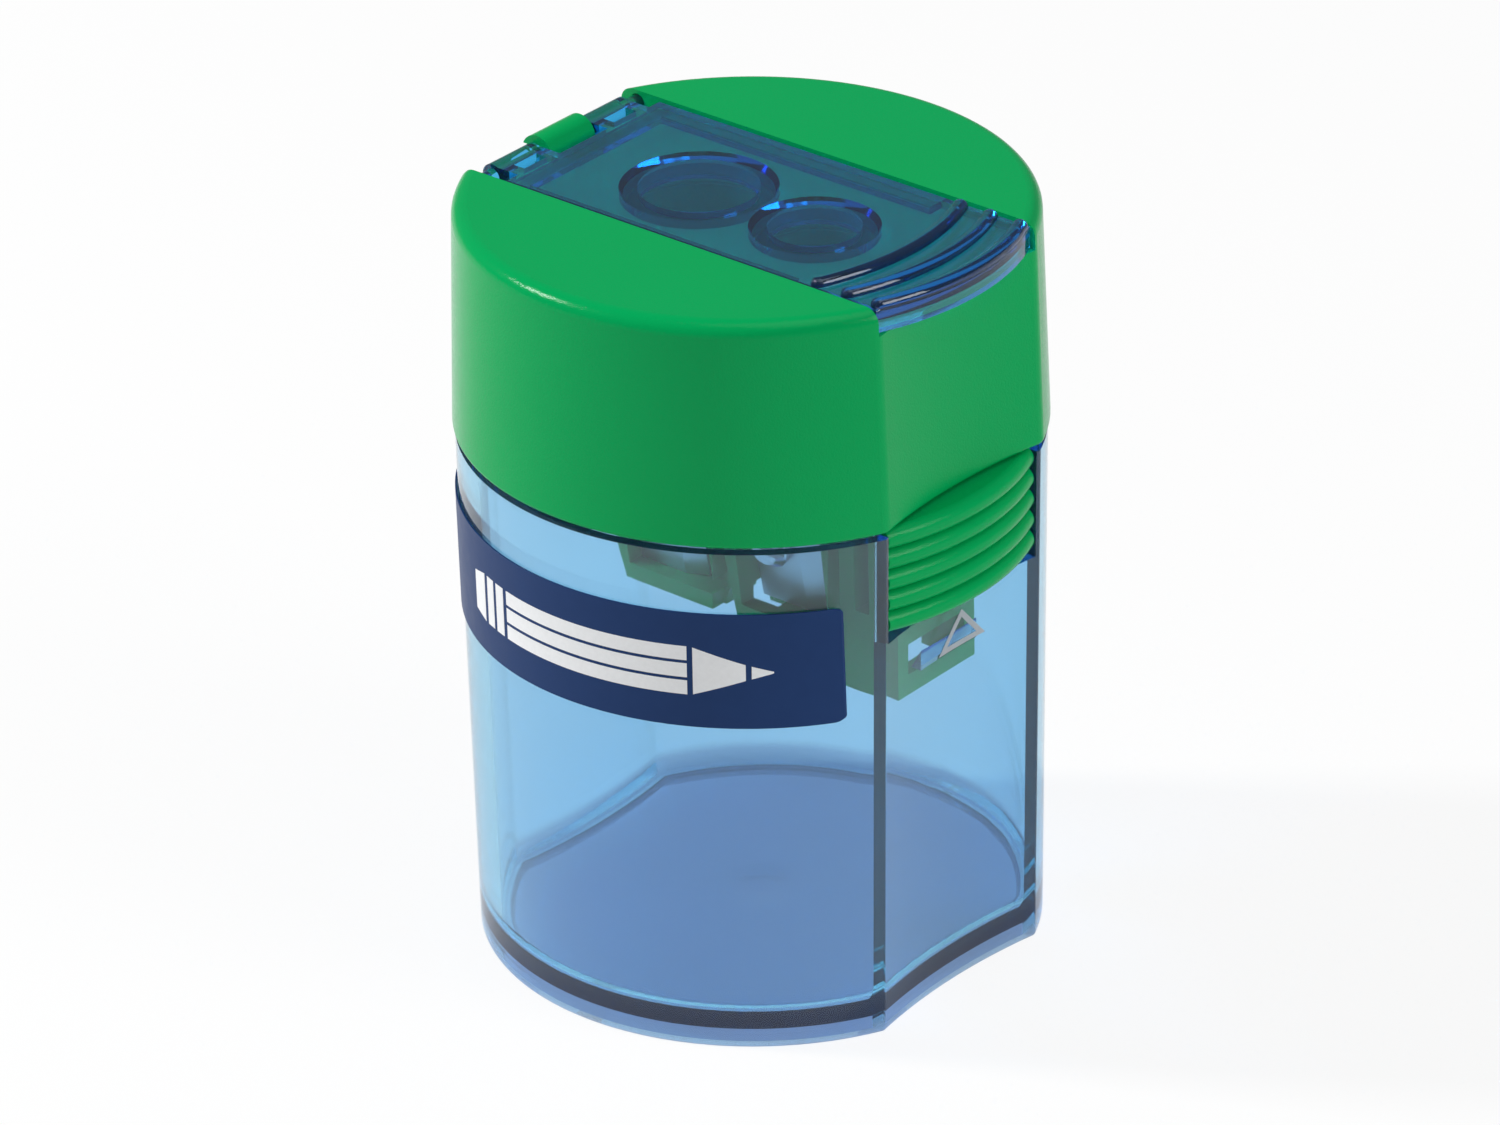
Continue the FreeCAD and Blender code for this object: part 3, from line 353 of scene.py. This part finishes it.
def front_wall(x, z):
    """Front wall: y is minus (depth of the corners - dip + sagitta of the hollow arc at x)."""
    depth = FOOT_DEPTH + (RIM_DEPTH - FOOT_DEPTH) * z / RIM_HEIGHT
    radius = (CORNER_HALF**2 + FACE_DIP**2) / (2 * FACE_DIP)
    y = -(depth - FACE_DIP + radius - np.sqrt(radius**2 - x**2))
    return np.stack([x, y, z], axis=-1)


print("middle of the front wall at the rim", front_wall(np.array(0.0), np.array(RIM_HEIGHT)).round(2))

# %% [markdown]
# ## The tub's left wall as a formula
# The left wall carries the band. In plan it is an arc through the front and back corners that bulges to
# the half width, at the foot and at the rim. A place on it is a run along the arc and a height, which is
# how one would measure on the real tub with a tape.

# %% Left wall
FOOT_HALF, RIM_HALF = 20.45, 20.85


def left_plan(half, depth, angle, proud):
    """Left side in plan: the arc's centre plus (radius + proud) * (-cos, -sin) of the angle.

    The radius is (rise squared + depth squared) / (2 * rise), where rise is the bulge past the corners.
    """
    rise = half - CORNER_HALF
    radius = (rise**2 + depth**2) / (2 * rise)
    reach = radius + proud
    return np.stack([radius - half - reach * np.cos(angle), -reach * np.sin(angle)], axis=-1)


def left_wall(run, z, proud):
    """Left wall at a run from the -X side towards the front, standing proud by a distance.

    The angle is the run over the mean half width. The height tells how far from foot to rim it lies.
    """
    angle = run / (0.5 * (FOOT_HALF + RIM_HALF))
    share = (z / RIM_HEIGHT)[..., None]
    foot = left_plan(FOOT_HALF, FOOT_DEPTH, angle, proud)
    rim = left_plan(RIM_HALF, RIM_DEPTH, angle, proud)
    return np.concatenate([(1 - share) * foot + share * rim, z[..., None]], axis=-1)


print("left end of the rim", left_wall(np.array(0.0), np.array(RIM_HEIGHT), proud=0.0).round(2))

# %% [markdown]
# ## Ink
# Pad-printed ink is dull, covers well, and is a little speckled where it dried unevenly. It could share
# the foil's material in another colour, but it has no gloss to speak of, so it has a simpler one: one
# fine speckle drives tint and roughness.

# %% Ink
INK_SPECKLE, INK_DIM = 3000.0, 0.9
INK_ROUGH = (0.5, 0.65)


def flat_ink(name, colour):
    """Dull ink whose tint and roughness follow a fine speckle."""
    material, tree, shader, _ = new_material(name)
    speckle = object_noise(tree, INK_SPECKLE, detail=3.0)
    set_sockets(tree, shader, {
        "Base Color": tint(tree, speckle, dimmed(colour, INK_DIM), colour),
        "Roughness": between(tree, speckle, *INK_ROUGH),
    })
    return material


grey_ink = flat_ink("grey_ink", (0.42, 0.46, 0.50))
white_ink = flat_ink("white_ink", (0.93, 0.94, 0.95))
print("inks", grey_ink.name, white_ink.name)

# %% [markdown]
# ## Strokes as grids
# A printed stroke has four corners and sharp edges. A mask in the wall's material would blur them, so a
# stroke is a mesh: its corners are mixed in two directions to a grid of points, fine enough to bend with
# the wall later, and the grid's cells become quads.

# %% Strokes
def grid_faces(rows, columns):
    """Quads of a grid, as indices into its points read row by row."""
    index = np.arange(rows * columns).reshape(rows, columns)
    corners = [index[:-1, :-1], index[1:, :-1], index[1:, 1:], index[:-1, 1:]]
    return np.stack(corners, axis=-1).reshape(-1, 4)


def stroke_grid(corners, count):
    """A four-cornered patch: corners a, b, c, d mixed by u from a to b and by v from a to d."""
    a, b, c, d = (np.asarray(corner, float) for corner in corners)
    u = np.linspace(0, 1, count[0])[:, None, None]
    v = np.linspace(0, 1, count[1])[None, :, None]
    return (1 - u) * (1 - v) * a + u * (1 - v) * b + u * v * c + (1 - u) * v * d


print("quads in a grid of 3 by 3 points", len(grid_faces(3, 3)))

# %% [markdown]
# ## Laying ink on a wall
# Ink is a film of a few hundredths of a millimetre. The strokes of a mark go through a wall's formula, so
# they have the wall's own curve and neither float nor sink, and are joined to one piece. Solidify gives
# the film its thickness. The piece rides on the tub's body, so it stays on the tub when the cap lifts.

# %% Prints
MM = 0.001
INK_FILM = 0.03


def print_piece(name, patches, wall, ink, body):
    """Patches laid on a wall by its formula, joined in one mesh, made a film and fixed to a body."""
    points, faces, start = [], [], 0
    for patch in patches:
        laid = wall(patch[..., 0], patch[..., 1]).reshape(-1, 3)
        points.append(laid * MM)
        faces.append(grid_faces(*patch.shape[:2]) + start)
        start += len(laid)
    mesh = bpy.data.meshes.new(name)
    mesh.from_pydata(np.concatenate(points).tolist(), [], np.concatenate(faces).tolist())
    mesh.materials.append(ink)
    piece = bpy.data.objects.new(name, mesh)
    bpy.context.scene.collection.objects.link(piece)
    film = piece.modifiers.new("film", "SOLIDIFY")
    film.thickness = INK_FILM * MM
    film.offset = 0.0
    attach(piece, body)
    print(name, len(mesh.polygons), "quads on", body)


print("film", INK_FILM, "mm thick")

# %% [markdown]
# ## Arrowhead on the front wall
# Under the pad, a grey triangle on the tub points up at the place to press. It is an outline of even
# width, so its inside is the same triangle drawn in towards the centre of its inscribed circle. Three
# bars with mitred ends fill the space between the two.

# %% Arrowhead
ARROW_TIP = (0.7, 30.1)
ARROW_FOOT = 27.25
ARROW_HALF = 2.55
ARROW_WIDTH = 0.42
ARROW_LIFT = 0.03
ARROW_GRID = (24, 4)


def arrow_strokes():
    """Three bars between a triangle and itself shrunk about its incentre by width / inscribed radius."""
    x, tip = ARROW_TIP
    outer = np.array([(x, tip), (x + ARROW_HALF, ARROW_FOOT), (x - ARROW_HALF, ARROW_FOOT)])
    slope = (tip - ARROW_FOOT) / ARROW_HALF
    inscribed = ARROW_HALF * slope / (1 + np.sqrt(1 + slope**2))
    centre = np.array([x, ARROW_FOOT + inscribed])
    inner = centre + (outer - centre) * (1 - ARROW_WIDTH / inscribed)
    after = np.roll(np.arange(len(outer)), -1)
    bars = zip(outer, outer[after], inner[after], inner)
    return [stroke_grid(ends, ARROW_GRID) for ends in bars]


def arrow_place(x, z):
    """The front wall's points, moved out by the lift."""
    return front_wall(x, z) - np.array([0, ARROW_LIFT, 0])


print_piece("front_arrow_print", arrow_strokes(), arrow_place, grey_ink, "tub_body")

# %% [markdown]
# ## Pencil sign on the band
# A plain white pencil lies along the band and tells what the thing is for. Each of its parts is one
# stroke between two runs along the band, whose half height may change from end to end, so a cone is as
# easy as a bar. The shaft is three narrow bars, the faces of a six-sided pencil as one sees them. All
# sizes are millimetres from the pencil's own middle.

# %% Pencil sign
PENCIL_RUN, PENCIL_LEVEL = 3.0, 30.55
PENCIL_HALF = 1.9
SHAFT_RUN = (-8.6, 6.6)
SHAFT_FACES, SHAFT_FACE, SHAFT_PITCH = 3, 1.1, 1.35
FOIL_PROUD, PENCIL_LIFT = 0.185, 0.02
PENCIL_GRID = (40, 6)
# Each part has a run at either end, and a half height at either end.
PENCIL_PARTS = {
    "rubber": ((-13.2, -11.6), (1.5, PENCIL_HALF)),
    "rear_ring": ((-11.2, -10.3), (PENCIL_HALF, PENCIL_HALF)),
    "front_ring": ((-9.95, -9.0), (PENCIL_HALF, PENCIL_HALF)),
    "cone": ((7.0, 10.6), (1.85, 0.62)),
    "lead": ((11.0, 12.5), (0.5, 0.06)),
}


def bar(run, low, high):
    """A stroke between two runs, with a lower and an upper edge given at each of them."""
    corners = np.array([(run[0], low[0]), (run[1], low[1]), (run[1], high[1]), (run[0], high[0])])
    return stroke_grid(corners + (PENCIL_RUN, PENCIL_LEVEL), PENCIL_GRID)


def even_bar(run, halves):
    """A stroke that lies evenly about the pencil's middle line, with a half height at each end."""
    return bar(run, [-half for half in halves], halves)


def pencil_strokes():
    """The shaft's three faces, a pitch apart, and then the parts that lie evenly about the middle line."""
    lows = [-PENCIL_HALF + face * SHAFT_PITCH for face in range(SHAFT_FACES)]
    strokes = [bar(SHAFT_RUN, (low, low), (low + SHAFT_FACE, low + SHAFT_FACE)) for low in lows]
    return strokes + [even_bar(run, halves) for run, halves in PENCIL_PARTS.values()]


def pencil_place(run, z):
    """The left wall's points, moved out past the foil by the lift."""
    return left_wall(run, z, FOIL_PROUD + PENCIL_LIFT)


print_piece("band_pencil_print", pencil_strokes(), pencil_place, white_ink, "tub_body")

# %% [markdown]
# ## A white backdrop
# The photograph is a cut-out on white. More light would make the ground white, but it would bleach the
# object too. So the ground glows for the rays that look at it, from the camera, in reflections or through
# clear plastic, and gives no light to anything else. Each kind of ray has a share of its own.

# %% Rays that see the backdrop
def sees_backdrop(tree, camera, mirror, clear):
    """The largest share that applies to a ray from the camera, a reflection or clear plastic."""
    path = add_node(tree, "ShaderNodeLightPath")
    shares = {"Is Camera Ray": camera, "Is Glossy Ray": mirror, "Is Transmission Ray": clear}
    largest = 0.0
    for ray, share in shares.items():
        part = add_node(tree, "ShaderNodeMath", {0: path.outputs[ray], 1: share}, operation="MULTIPLY")
        both = {0: largest, 1: part.outputs["Value"]}
        largest = add_node(tree, "ShaderNodeMath", both, operation="MAXIMUM").outputs["Value"]
    return largest


print("helper for the backdrop")

# %% [markdown]
# ## Floor
# The floor is pale and matt, with a faint cloudiness like card. To the camera it is nearly all white
# glow. The rest is real shading, which keeps the object's soft shadow. In reflections and through the
# clear plastic the share of glow is smaller, so steel and plastic show a pale ground without a white
# veil.

# %% Floor
FLOOR_HALF = 3.0
FLOOR_TINTS = ((0.90, 0.90, 0.905), (0.93, 0.93, 0.93))
FLOOR_CLOUDS = 6.0
FLOOR_ROUGH = 0.9
WHITE = (1.0, 1.0, 1.0, 1.0)


def studio_floor():
    """Pale matt floor, mixed with a white glow by the share of the backdrop that a ray sees."""
    material, tree, shader, output = new_material("pale_floor")
    set_sockets(tree, shader, {
        "Base Color": tint(tree, object_noise(tree, FLOOR_CLOUDS), *FLOOR_TINTS),
        "Roughness": FLOOR_ROUGH,
    })
    glow = add_node(tree, "ShaderNodeEmission", {"Color": WHITE, "Strength": 1.0})
    share = sees_backdrop(tree, camera=0.88, mirror=0.40, clear=0.40)
    sockets = {"Fac": share, 1: shader.outputs["BSDF"], 2: glow.outputs["Emission"]}
    mix = add_node(tree, "ShaderNodeMixShader", sockets)
    set_sockets(tree, output, {"Surface": mix.outputs["Shader"]})
    return material


corners = [(x * FLOOR_HALF, y * FLOOR_HALF, 0) for x, y in ((-1, -1), (1, -1), (1, 1), (-1, 1))]
floor_mesh = bpy.data.meshes.new("floor")
floor_mesh.from_pydata(corners, [], [(0, 1, 2, 3)])
floor_mesh.materials.append(studio_floor())
floor = bpy.data.objects.new("floor", floor_mesh)
bpy.context.scene.collection.objects.link(floor)
print("floor", 2 * FLOOR_HALF, "m square")

# %% [markdown]
# ## World
# Past the floor's edge lies the world. It is white for the camera too, half white through the clear
# plastic, and a little in reflections. As a light it is weak and slightly blue, because the lamps do the
# lighting.

# %% World
SKY_TINT = (0.95, 0.97, 1.0, 1.0)
SKY_LIGHT = 0.10

world = bpy.data.worlds.new("studio")
bpy.context.scene.world = world
world.use_nodes = True
sky = world.node_tree
sky.nodes.clear()
seen = add_node(sky, "ShaderNodeBackground", {"Color": WHITE, "Strength": 1.0})
lighting = add_node(sky, "ShaderNodeBackground", {"Color": SKY_TINT, "Strength": SKY_LIGHT})
share = sees_backdrop(sky, camera=1.0, mirror=0.10, clear=0.55)
sockets = {"Fac": share, 1: lighting.outputs["Background"], 2: seen.outputs["Background"]}
choose = add_node(sky, "ShaderNodeMixShader", sockets)
add_node(sky, "ShaderNodeOutputWorld", {"Surface": choose.outputs["Shader"]})
print("world light", SKY_LIGHT)

# %% [markdown]
# ## Lamps
# Three square lamps aim at the middle of the object. A small key behind on the left draws the bright
# streak along the cap's edge, a wider fill stands in front on the right, and a broad one overhead keeps
# the shadows soft. A single sun would be simpler, but the photograph's light comes from more than one
# side.

# %% Lamps
LAMP_AIM = Vector((0, 0, 0.035))


def soft_lamp(name, place, size, power):
    """A square lamp with a side in metres and a power in watts, aimed at the middle of the object."""
    data = bpy.data.lights.new(name, "AREA")
    data.shape = "SQUARE"
    data.size = size
    data.energy = power
    lamp = bpy.data.objects.new(name, data)
    lamp.location = place
    lamp.rotation_euler = (LAMP_AIM - Vector(place)).to_track_quat("-Z", "Y").to_euler()
    bpy.context.scene.collection.objects.link(lamp)
    print(name, "lamp", power, "W")


soft_lamp("key", place=(-0.287, 0.455, 0.45), size=0.07, power=3.9)
soft_lamp("fill", place=(0.12, -0.62, 0.36), size=0.30, power=2.1)
soft_lamp("overhead", place=(0.00, -0.20, 0.72), size=0.50, power=1.3)

# %% [markdown]
# ## Camera
# The camera stands where the photograph's perspective puts it: in front on the left, about 28 degrees
# above the level, with a long lens. An aim point would leave it upright, but the photograph is turned by
# about a degree. So its right and its back are given as directions, made square to each other, and become
# columns of its matrix.

# %% Camera
CAMERA_PLACE = (-0.439115, -0.374114, 0.331640)
CAMERA_RIGHT = (0.64095, -0.76733, -0.01954)
CAMERA_BACK = (-0.67334, -0.57430, 0.46561)
SENSOR_MM, LENS_MM = 36.0, 219.05

camera_data = bpy.data.cameras.new("camera")
camera_data.sensor_width = SENSOR_MM
camera_data.lens = LENS_MM
camera = bpy.data.objects.new("camera", camera_data)
back = Vector(CAMERA_BACK).normalized()
across = Vector(CAMERA_RIGHT)
across = (across - back * across.dot(back)).normalized()
turn = Matrix((across, back.cross(across), back)).transposed()
camera.matrix_world = Matrix.Translation(CAMERA_PLACE) @ turn.to_4x4()
bpy.context.scene.collection.objects.link(camera)
bpy.context.scene.camera = camera
print("camera", LENS_MM, "mm lens at", CAMERA_PLACE)

# %% [markdown]
# ## Close
# Colours are shown as they are, with no film curve.

# %% Close
bpy.context.scene.view_settings.view_transform = "Standard"
bpy.context.view_layer.update()
